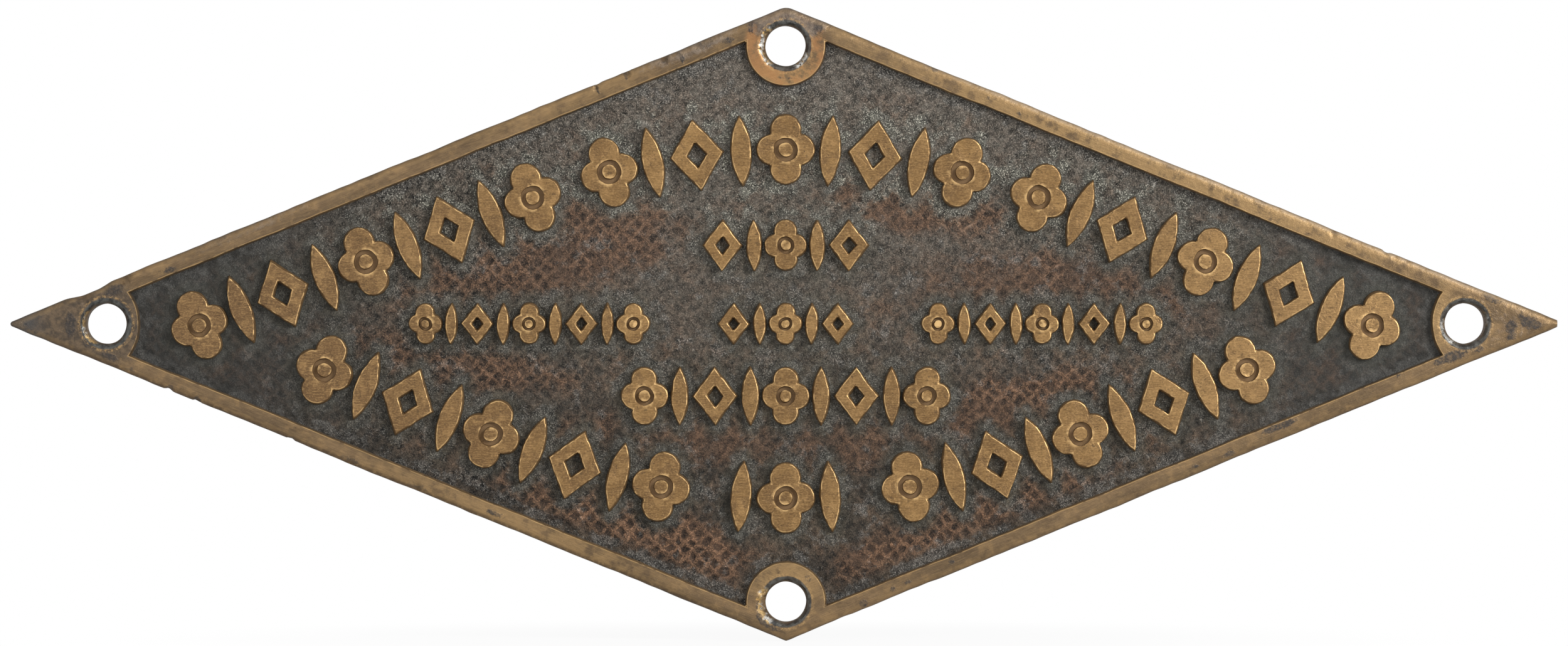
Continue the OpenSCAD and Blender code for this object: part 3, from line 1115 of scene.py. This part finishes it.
# Parts of the field where the pattern maker's punch marks stand out, and reddish ones
PUNCHED = (
    ((-42, -50), (36, 9), -22, 1.1),
    ((-66, 20), (36, 13), 12, 0.5),
    ((58, 26), (34, 10), -14, 0.6),
    ((-82, -10), (34, 6), -8, 0.55),
    ((-30, -10), (26, 5), 0, 0.7),
    ((62, -12), (30, 8), 0, 0.7),
    ((104, 34), (34, 6), -22, 0.6),
    ((46, -50), (40, 7), 22, 0.7),
    ((-70, 46), (50, 5), 22, 0.45),
)
REDDISH = (
    ((-42, -50), (38, 9), -22, 0.9),
    ((-66, 18), (40, 12), 12, 0.75),
    ((30, 33), (24, 9), -12, 0.9),
    ((66, 6), (36, 12), 0, 0.7),
    ((-90, -10), (34, 7), -8, 0.6),
    ((62, -22), (34, 9), 6, 0.8),
    ((46, -50), (40, 7), 22, 0.8),
    ((0, -30), (90, 9), 0, 0.45),
    ((30, 66), (26, 4), -22, 0.4),
)


def in_field(points):
    """0 under the border and 1 out in the sunk field."""
    return smooth(-border_inset(points), 0, 0.8) * smooth(hole_inset(points), 1, 2)


def beside_border(points):
    """1 at the foot of the border, falling to 0 inside the field."""
    return 1 - smooth(-border_inset(points) - FOOT, 0, 6)


def ground_tree():
    """Geometry tree that works the ground: its punch marks, its grain, and how near the marks are."""
    tree, identifiers, start = geometry_tree("worked_ground", {
        "Geometry": "Geometry",
        "Relief": "Collection",
        "Pitch": "Float",
        "Punch depth": "Float",
        "Grain": "Float",
        "Ground finish": "Material",
        "Wall finish": "Material",
    })
    given = start.add("NodeGroupInput")

    def stored(name, kind="FLOAT"):
        named = start.add("GeometryNodeInputNamedAttribute", {"data_type": kind}, {"Name": name})
        return named.out("Attribute")

    place = start.add("GeometryNodeInputPosition").scaled(1 / MM)
    hollow = punch_marks(place, given.out("Pitch"))
    strength = punch_strength(place, stored("punched"))
    grain = (noise(place, 2.4) - 0.5) * 1.6 + (noise(place, 1.0) - 0.5)
    lift = grain * given.out("Grain") - hollow * strength * given.out("Punch depth")
    offset = start.add("ShaderNodeCombineXYZ", None, {"Y": (lift * stored("field")) * -1.0})
    relief = start.add("GeometryNodeCollectionInfo", None, {"Collection": given.out("Relief")})
    near = start.add("GeometryNodeProximity", {"target_element": "FACES"}, {
        "Target": start.add("GeometryNodeRealizeInstances", None, {"Geometry": relief}),
    }).out("Distance") * (1 / MM)
    geometry = start.add("GeometryNodeStoreNamedAttribute", {"data_type": "FLOAT", "domain": "POINT"}, {
        "Geometry": given.out("Geometry"),
        "Name": "near",
        "Value": near,
    })
    geometry = start.add("GeometryNodeSetPosition", None, {"Geometry": geometry, "Offset": offset})
    for finish, chosen in (("Wall finish", True), ("Ground finish", stored("front", "BOOLEAN"))):
        geometry = start.add("GeometryNodeSetMaterial", None, {
            "Geometry": geometry,
            "Selection": chosen,
            "Material": given.out(finish),
        })
    start.add("NodeGroupOutput", None, {"Geometry": geometry})
    return tree, identifiers


def punch_marks(place, pitch):
    """1 in the punch marks and 0 on the ridges between them.

    The marks stand in staggered rows, each a little out of its place."""
    wave = 3.6
    reach = 3.4
    x, _, z = place.parts()
    across = x + (noise(place, wave) - 0.5) * reach
    up = z + (noise(place.vector("ADD", (0.0, 50.0, 0.0)), wave) - 0.5) * reach
    waves = [
        (distance * (2 * math.pi)).math("DIVIDE", pitch).math("COSINE")
        for distance in (across + up, across - up)
    ]
    return waves[0].math("MINIMUM", waves[1]).rise(-0.95, 0.4)


def punch_strength(place, punched):
    """How strong the punch marks are: about 1 at most, and less where they fade."""
    return (punched * 0.5 + 0.5) * noise(place, 14.0).rise(0.15, 0.45)


def make_ground(finish, wall_finish, marks):
    """The sunk ground with the plate's walls and back."""
    plan = Plan()
    plan.line(outline_loop(0), closed=True)
    add_hole_rings(plan, (0,))
    inner = lattice(HALF_LENGTH, HALF_HEIGHT, GROUND_STEP)
    under_border = 0.6
    plan.scatter(inner[border_inset(inner) < under_border])

    def in_metal(points):
        return (outline_inset(points) > 0) & (hole_inset(points) > 0)

    points, faces = plan.fill(in_metal)
    mesh = cast_solid(
        "ground_plate_casting", points, faces, in_metal, flat(GROUND), flat(0.0), hand_worked, {
            "field": in_field,
            "beside": beside_border,
            "punched": partial(patched, patches=PUNCHED),
            "reddish": partial(patched, patches=REDDISH),
        },
    )
    relief = bpy.data.collections.new("relief")
    for piece in marks:
        relief.objects.link(piece)
    tree, identifiers = ground_tree()
    made = grown("ground_plate_casting", tree, identifiers, {
        "Relief": relief,
        "Pitch": PUNCH_PITCH,
        "Punch depth": PUNCH_DEPTH * MM,
        "Grain": GRAIN_DEPTH * MM,
        "Ground finish": finish,
        "Wall finish": wall_finish,
    }, mesh)
    bpy.data.collections.remove(relief)
    return show("ground_plate_casting", made, "ground_plate")


def new_material(name):
    """A new material, and the start of its empty tree."""
    made = bpy.data.materials.new(name)
    made.use_nodes = True
    made.node_tree.nodes.clear()
    return made, Value(made.node_tree)


def object_place(start):
    """Object coordinates in millimetres."""
    return start.add("ShaderNodeTexCoord").out("Object").scaled(1 / MM)


def attribute(start, name):
    return start.add("ShaderNodeAttribute", {"attribute_name": name}).out("Fac")


def coats(colour, *layers):
    """A colour under further ones: each layer is its share of the surface and its colour."""
    for share, laid in layers:
        colour = share.mix(colour, laid)
    return colour


def swings(value, *sides):
    """Layers where a noise swings off its middle: each side's limit, strength and colour."""
    return [(value.rise(0.5, limit) * strength, colour) for limit, strength, colour in sides]


def flecks(place, size, share, shift):
    """Crisp separate specks of about a size. A larger share, up to 1, makes them denser."""
    low = 0.72 - 0.22 * share
    return noise(place.vector("ADD", (shift, 0.0, shift)), size, 2.0, 0.6).rise(low, low + 0.07)


def edge_place(place):
    """Coordinates along and across the nearest edge of the diamond, different on each edge."""
    x, _, z = place.parts()
    right = x.math("ABSOLUTE")
    up = z.math("ABSOLUTE")
    return place.add("ShaderNodeCombineXYZ", None, {
        "X": right * math.cos(EDGE_ANGLE) - up * math.sin(EDGE_ANGLE),
        "Y": right * math.sin(EDGE_ANGLE) + up * math.cos(EDGE_ANGLE),
        "Z": x.math("SIGN") * 31.0 + z.math("SIGN") * 57.0,
    })


def hole_distance(place):
    """Distance outside the nearest fixing hole, in millimetres."""
    x, _, z = place.parts()
    x = x.math("ABSOLUTE")
    z = z.math("ABSOLUTE")
    end = ((x - END_HOLE_X) * (x - END_HOLE_X) + z * z).math("SQRT")
    corner = ((z - CORNER_HOLE_Z) * (z - CORNER_HOLE_Z) + x * x).math("SQRT")
    return end.math("MINIMUM", corner) - HOLE_RADIUS


def metal_output(start, colour, metallic, roughness, height, depth=1.0, shine=0.5):
    """Joins a metal's colour and finish to the output. A bump height of 1 is depth millimetres."""
    bump = start.add("ShaderNodeBump", None, {
        "Height": height,
        "Distance": depth * MM,
        "Strength": 1.0,
    })
    shader = start.add("ShaderNodeBsdfPrincipled", None, {
        "Base Color": colour,
        "Metallic": metallic,
        "Roughness": roughness,
        "Specular IOR Level": shine,
        "Normal": bump,
    })
    start.add("ShaderNodeOutputMaterial", None, {"Surface": shader})


def mark_brass():
    """Brass of the marks: flat tops filed along the plate, with pits, a bright edge that is partly wear
    and partly a painted highlight, and painted light towards the right and painted shade towards the
    left.
    """
    made, start = new_material("mark_brass")
    place = object_place(start)
    x, y, _ = place.parts()
    level = y * -1.0
    filed = level.rise(TOP - 0.7, TOP - 0.12)
    foot = 1 - level.rise(GROUND, GROUND + 1.1)
    lines = noise(place.vector("MULTIPLY", (0.3, 1.0, 6.5)), 1.0, 3.0, 0.65)
    broad = noise(place, 17.0)
    grain = noise(place.vector("MULTIPLY", (0.7, 1.0, 1.2)), 0.4, 2.0, 0.6)
    cloud = noise(place, 3.0, 4.0, 0.65)
    tarnish = noise(place, 5.0, 5.0, 0.7, 0.6).rise(0.52, 0.66)
    specks = flecks(place, 1.1, 0.42, 3.0)
    pits = flecks(place, 0.5, 0.3, 7.0)
    worn = attribute(start, "worn") * noise(place, 1.8, 3.0).rise(0.42, 0.62)
    colour = coats(
        broad.rise(0.38, 0.62).mix(tone(112, 84, 49), tone(133, 102, 61)),
        # Painted light and shade: lighter towards the right and darker towards the left, as the light
        # falls from the right
        (x.rise(50, 150) * 0.6, tone(154, 122, 80)),
        (x.rise(-20, -150) * 0.7, tone(92, 69, 46)),
        *swings(cloud, (0.64, 0.34, tone(168, 133, 86)), (0.36, 0.4, tone(96, 72, 44))),
        *swings(lines, (0.6, 0.26, tone(184, 148, 98)), (0.38, 0.34, tone(92, 68, 42))),
        (tarnish * 0.45, tone(88, 66, 43)),
        *swings(grain, (0.64, 0.22, tone(188, 152, 102)), (0.36, 0.24, tone(80, 61, 40))),
        (specks * 0.55, tone(76, 58, 38)),
        (pits * 0.85, tone(56, 43, 31)),
        # Bright line along the edges: partly wear, partly a painted highlight
        (worn * 0.85, tone(216, 178, 122)),
        (1 - filed, tone(118, 91, 58)),
        (foot, tone(70, 60, 44)),
    )
    metallic = filed * 0.4 + 0.3
    roughness = tarnish * 0.18 + lines * 0.14 + (1 - filed) * 0.2 + 0.3
    height = lines * 0.03 + cloud * 0.14 - tarnish * 0.04
    metal_output(start, colour, metallic, roughness, height)
    return made


def cast_skin(place):
    """Colour of the rough cast sides and back."""
    return coats(
        noise(place, 2.4, 4.0, 0.6).rise(0.3, 0.7).mix(tone(80, 64, 46), tone(120, 96, 66)),
        (noise(place, 26.0, 5.0, 0.65).rise(0.42, 0.6) * 0.6, tone(60, 54, 46)),
        (noise(place, 12.0, 4.0, 0.6, 1.0).rise(0.54, 0.68) * 0.5, tone(104, 72, 50)),
    )


def dull_skin(x, ragged):
    """Colour of the dull patches: greyish, browner near the left tip, and grey at the tip."""
    patchy = ragged.rise(0.35, 0.65)
    return coats(
        patchy.mix(tone(78, 71, 67), tone(124, 110, 96)),
        (x.rise(-120, -160), patchy.mix(tone(64, 56, 48), tone(100, 84, 66))),
        (x.rise(-186, -194), tone(64, 65, 66)),
    )


def mouth_layers(start, place, ragged, fine):
    """Layers round a hole: its bright lip, its steel grey mouth, and torn silvery metal."""
    away = hole_distance(place) + (ragged - 0.5) * 0.7
    lip = away.rise(1.2, 1.6) * away.rise(2.3, 1.8) * fine.rise(0.45, 0.6)
    steel = ragged.rise(0.4, 0.6).mix(tone(50, 50, 49), tone(80, 81, 78))
    torn = attribute(start, "torn").rise(0.04, 0.3) * fine.rise(0.34, 0.5)
    silver = noise(place, 2.2).rise(0.45, 0.55).mix(tone(226, 224, 218), tone(190, 158, 104))
    return [
        (lip * 0.5, tone(178, 144, 96)),
        (away.rise(1.55, 1.2) * 0.92, steel),
        (torn * 0.95, silver),
    ]


def rim_brass():
    """Brass of the border, worn along its edges, dark in its dents, and rough cast on the sides. Its
    bright edge lines are partly wear and partly a painted highlight, and its outer edge has painted
    shade at the lower left and a painted highlight at the upper right.
    """
    made, start = new_material("rim_brass")
    place = object_place(start)
    x, y, z = place.parts()
    edge = edge_place(place)
    _, across, _ = edge.parts()
    filed = (y * -1.0).rise(TOP - 1.3, TOP - 0.2)
    lines = noise(edge.vector("MULTIPLY", (0.3, 6.0, 1.0)), 1.0, 3.0, 0.65)
    broad = noise(edge.vector("MULTIPLY", (0.03, 0.18, 1.0)), 1.0)
    cloud = noise(place, 3.4, 5.0, 0.65)
    ragged = noise(place, 1.5, 4.0, 0.65)
    fine = noise(place, 0.6, 3.0, 0.65)
    sand = noise(place, 0.9, 3.0, 0.6)
    golden = attribute(start, "golden")
    tarnish = noise(edge.vector("MULTIPLY", (0.09, 0.35, 1.0)), 1.0, 5.0, 0.7, 0.5).rise(0.52, 0.66)
    tarnish = tarnish * (1 - golden * 0.7)
    copper = hole_distance(place).rise(6.0, 4.4) * z.rise(40, 60) * cloud.rise(0.36, 0.56)
    dull = (attribute(start, "dulled") + (ragged - 0.5) * 0.9).rise(0.25, 0.75)
    uneven = (ragged - 0.5) * 1.3 + (fine - 0.5) * 1.2 - golden * 0.16
    stain = (attribute(start, "stained") + uneven).rise(0.25, 0.85)
    mottled = noise(place, 0.9, 4.0, 0.7).rise(0.4, 0.56) * 0.5 + 0.4
    specks = flecks(place, 0.5, 0.2, 9.0)
    worn = attribute(start, "worn") * noise(place, 2.6, 3.0).rise(0.34, 0.5)
    # Band along the outer edge, which carries painted shade at the lower left and a painted highlight
    # at the upper right
    outer = across.rise(EDGE_REACH - 1.4, EDGE_REACH - 0.3) * ragged.rise(0.3, 0.55)
    painted_shade_lower_left = x.rise(10, -30) * z.rise(0, -10)
    painted_highlight_upper_right = x.rise(20, 60) * z.rise(0, 10)
    colour = coats(
        broad.rise(0.38, 0.62).mix(tone(96, 78, 56), tone(117, 95, 68)),
        (golden * cloud.rise(0.32, 0.5), tone(146, 118, 79)),
        *swings(cloud, (0.66, 0.35, tone(152, 122, 82)), (0.36, 0.35, tone(82, 65, 47))),
        *swings(lines, (0.6, 0.16, tone(172, 141, 96)), (0.38, 0.22, tone(84, 65, 43))),
        (tarnish * 0.4, tone(80, 63, 43)),
        (copper * 0.6, tone(160, 112, 68)),
        (dull * 0.9, dull_skin(x, ragged)),
        (stain * mottled, tone(42, 38, 36)),
        (specks * 0.6, tone(50, 41, 32)),
        # Bright line along the edges: partly wear, partly a painted highlight
        (worn * 0.65, tone(184, 150, 101)),
        *mouth_layers(start, place, ragged, fine),
        # Painted shade on the outer edge at the lower left, and a painted highlight on it at the upper
        # right, as the light falls from the upper right
        (outer * painted_shade_lower_left * 0.7, tone(62, 47, 32)),
        (outer * painted_highlight_upper_right * 0.6, tone(188, 166, 140)),
        (1 - filed, cast_skin(place)),
    )
    metallic = (1 - stain) * filed * 0.35 + 0.3
    roughness = tarnish * 0.16 + stain * 0.16 + lines * 0.12 + (1 - filed) * 0.36 + 0.32
    height = lines * 0.03 + ragged * (filed * 0.09 + 0.03)
    height = height + fine * (stain + dull) * 0.1 + sand * (1 - filed) * 0.09
    metal_output(start, colour, metallic, roughness, height)
    return made


def ground_brass():
    """Dark patina of the sunk ground: punch marks with coppery ridges, pale and dark flecks, and
    painted light beside the marks' feet.
    """
    made, start = new_material("ground_brass")
    place = object_place(start)
    x, _, z = place.parts()
    near = attribute(start, "near")
    beside = attribute(start, "beside")
    ragged = noise(place, 1.5, 5.0, 0.72, 0.4)
    grit = noise(place, 0.34, 2.0, 0.6)
    hair = noise(place, 0.55, 3.0, 0.7, 1.2)
    cloud = noise(place, 8.0, 4.0, 0.6)
    veil = noise(place.vector("ADD", (40.0, 0.0, 40.0)), 4.5, 4.0, 0.65)
    end = x.math("ABSOLUTE").rise(90, 150)
    high = z.rise(-50, 60)
    close_by = 1 - near.rise(0.6, 5.0)
    hollow = punch_marks(place, PUNCH_PITCH) + (ragged - 0.5) * 1.1
    strength = punch_strength(place, attribute(start, "punched"))
    strength = strength * near.rise(0.6, 2.6) * (1 - beside.rise(0.3, 0.9))
    open_field = near.rise(1.0, 4.0) * (1 - beside)
    reddish = (attribute(start, "reddish") + (cloud - 0.5) * 1.8 + 0.2).rise(0.1, 0.9) * open_field
    frost = (close_by * 0.14 + beside.rise(0.35, 0.8) * 0.12 + veil).rise(0.54, 0.67) * (1 - end * 0.4)
    pale = (1 - near.rise(1.5, 7.0)) * z.rise(12, 36) * (1 - end) * veil.rise(0.44, 0.62)
    gritty = (high * 0.3 + frost * 0.7 + pale * 0.75 + 0.28) * (1 - reddish * 0.4) * (1 - end * 0.4)
    ridge = hollow.rise(0.5, 0.1) * strength
    halo = close_by * (1 - z.rise(10, 45) * 0.8)
    tint = coats(
        cloud.rise(0.38, 0.6).mix(tone(48, 43, 37), tone(66, 58, 49)),
        (high * 0.75, tone(90, 85, 78)),
        (end * 0.85, tone(38, 38, 36)),
        (reddish * 0.75, tone(68, 50, 38)),
        (frost * 0.55, tone(85, 84, 81)),
        (ridge * (reddish * 0.3 + 0.1), tone(106, 79, 58)),
        (halo * 0.42, tone(53, 53, 46)),
        (pale * 0.55, tone(99, 99, 90)),
    )
    curls = hair.rise(0.51, 0.6) * ridge * (reddish * 0.9 + 0.5)
    grain = ragged.rise(0.5, 0.6) * 0.82 - ragged.rise(0.5, 0.38) * 0.56 + curls * 1.5
    grain = grain + grit.rise(0.54, 0.64) * (gritty * 2.6 + 0.5) - grit.rise(0.5, 0.36) * 0.45
    grain = grain - hollow.rise(0.3, 1.0) * strength * 0.28
    middle = x.math("ABSOLUTE").rise(80, 25)
    above = z.math("ABSOLUTE").rise(8, 30)
    light = grain * (1 - end * 0.55) + middle * (0.16 - above * 0.09) + 1.18
    # Painted light: within about 2 mm of the marks' feet the ground is lightened against the shade that
    # falls there, less so at the ends. The ground is also darker towards the left.
    light = light - x.rise(-25, -95) * 0.15 + (1 - near.rise(0.3, 2.2)) * (0.5 - end * 0.3)
    roughness = ragged * 0.2 + 0.48
    height = (ragged * 0.3 + hair * 0.35 + grit * (gritty + 0.4) * 0.5) * (1 - end * 0.5)
    metal_output(start, tint.scaled(light), 0.2, roughness, height, depth=0.8, shine=0.3)
    return made


WHITE = (1.0, 1.0, 1.0, 1.0)


def camera_share(start):
    """1 for what the camera sees itself, in a mirror or through glass, and 0 for lighting."""
    path = start.add("ShaderNodeLightPath")
    seen = path.out("Is Camera Ray").math("MAXIMUM", path.out("Is Glossy Ray"))
    return seen.math("MAXIMUM", path.out("Is Transmission Ray"))


def make_world():
    """Soft light from all round, which the camera and reflections see as plain white."""
    daylight = 0.42
    world = bpy.data.worlds.new("studio")
    bpy.context.scene.world = world
    world.use_nodes = True
    world.node_tree.nodes.clear()
    start = Value(world.node_tree)
    soft = start.add("ShaderNodeBackground", None, {"Color": WHITE, "Strength": daylight})
    plain = start.add("ShaderNodeBackground", None, {"Color": WHITE, "Strength": 1.0})
    both = start.add("ShaderNodeMixShader", None, {0: camera_share(start), 1: soft, 2: plain})
    start.add("ShaderNodeOutputWorld", None, {"Surface": both})


def floor_finish():
    """White to the camera, a little less so below the plate, and clear when seen from below."""
    under_plate = 0.93
    made, start = new_material("pale_floor")
    pale = start.add("ShaderNodeBsdfDiffuse", None, {"Color": (0.86, 0.86, 0.86, 1.0)})
    white = start.add("ShaderNodeEmission", None, {"Color": WHITE, "Strength": 1.0})
    place = start.add("ShaderNodeTexCoord").out("Object")
    away = start.add("ShaderNodeVectorMath", {"operation": "LENGTH"}, {0: place})
    share = camera_share(start) * (away.rise(0.09, 0.2) * (1 - under_plate) + under_plate)
    both = start.add("ShaderNodeMixShader", None, {0: share, 1: pale, 2: white})
    underside = start.add("ShaderNodeNewGeometry").out("Backfacing")
    clear = start.add("ShaderNodeBsdfTransparent")
    shown = start.add("ShaderNodeMixShader", None, {0: underside, 1: both, 2: clear})
    start.add("ShaderNodeOutputMaterial", None, {"Surface": shown})
    return made


def make_floor():
    """A pale floor under the bottom corner, which keeps the plate's shadow. Sizes are in metres."""
    half_size = 0.7
    gap = 0.0004
    level = cad_box[0].z - gap
    signs = ((-1, -1), (1, -1), (1, 1), (-1, 1))
    corners = [(right * half_size, back * half_size, level) for right, back in signs]
    mesh = bpy.data.meshes.new("floor")
    mesh.from_pydata(corners, [], [(0, 1, 2, 3)])
    mesh.materials.append(floor_finish())
    floor = new_object("floor", mesh)


def make_lamp(name, place, size, watts):
    """A soft square lamp that points at the plate's middle. Place and size are in metres."""
    lamp = bpy.data.lights.new(name, "AREA")
    lamp.size = size
    lamp.energy = watts
    made = new_object(name, lamp)
    made.location = place
    made.rotation_euler = (-Vector(place)).to_track_quat("-Z", "Y").to_euler()


def make_camera():
    """A long lens straight in front of the plate. Its place and the picture's width are in metres."""
    away = 2.4
    picture_width = 0.398
    middle = (-0.00043, 0.00019)
    data = bpy.data.cameras.new("front")
    data.sensor_width = 36
    data.lens = data.sensor_width * (away - TOP * MM) / picture_width
    data.clip_end = 20
    camera = new_object("front", data)
    camera.location = (middle[0], -away, middle[1])
    camera.rotation_euler = (math.pi / 2, 0, 0)
    bpy.context.scene.camera = camera


def remove_helpers(shown):
    """Removes the objects that only fed the geometry trees."""
    for made in list(bpy.context.scene.objects):
        if made.type in ("MESH", "CURVE") and "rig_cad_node" not in made and made not in shown:
            bpy.data.objects.remove(made)


bpy.context.scene.view_settings.view_transform = "Standard"
make_camera()
make_world()
make_lamp("key", place=(1.05, -1.3, 0.5), size=0.6, watts=22)
make_lamp("fill", place=(-0.7, -1.6, 0.3), size=0.9, watts=3.5)

border_finish = rim_brass()
mark_pieces = make_marks(mark_brass())
border_pieces = make_border(border_finish)
ground_piece = make_ground(ground_brass(), border_finish, mark_pieces)
remove_helpers([*mark_pieces, *border_pieces, ground_piece])
make_floor()
